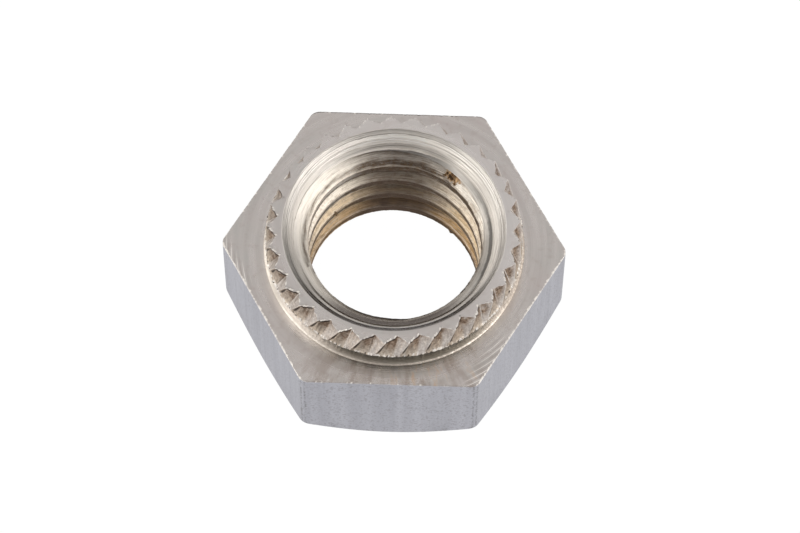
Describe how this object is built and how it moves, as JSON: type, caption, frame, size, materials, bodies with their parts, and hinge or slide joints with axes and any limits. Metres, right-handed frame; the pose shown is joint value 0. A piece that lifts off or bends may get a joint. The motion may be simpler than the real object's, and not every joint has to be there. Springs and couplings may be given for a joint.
{
  "type": "self clinching nut",
  "caption": "Hexagonal self clinching nut with a raised round collar, a ring of slanted clinching teeth and a through bore with stepped mouth.",
  "frame": {"origin": "centre of the plain face that the nut stands on", "axes": "+Z along the thread axis towards the toothed collar, +Y square to two of the hexagon's flats, +X through two of its corners"},
  "size_m": [0.0172, 0.015, 0.0081],
  "materials": {
    "stainless": "turned and drawn stainless steel"
  },
  "bodies": {
    "root": {"clinch_nut": "stainless"}
  },
  "joints": []
}
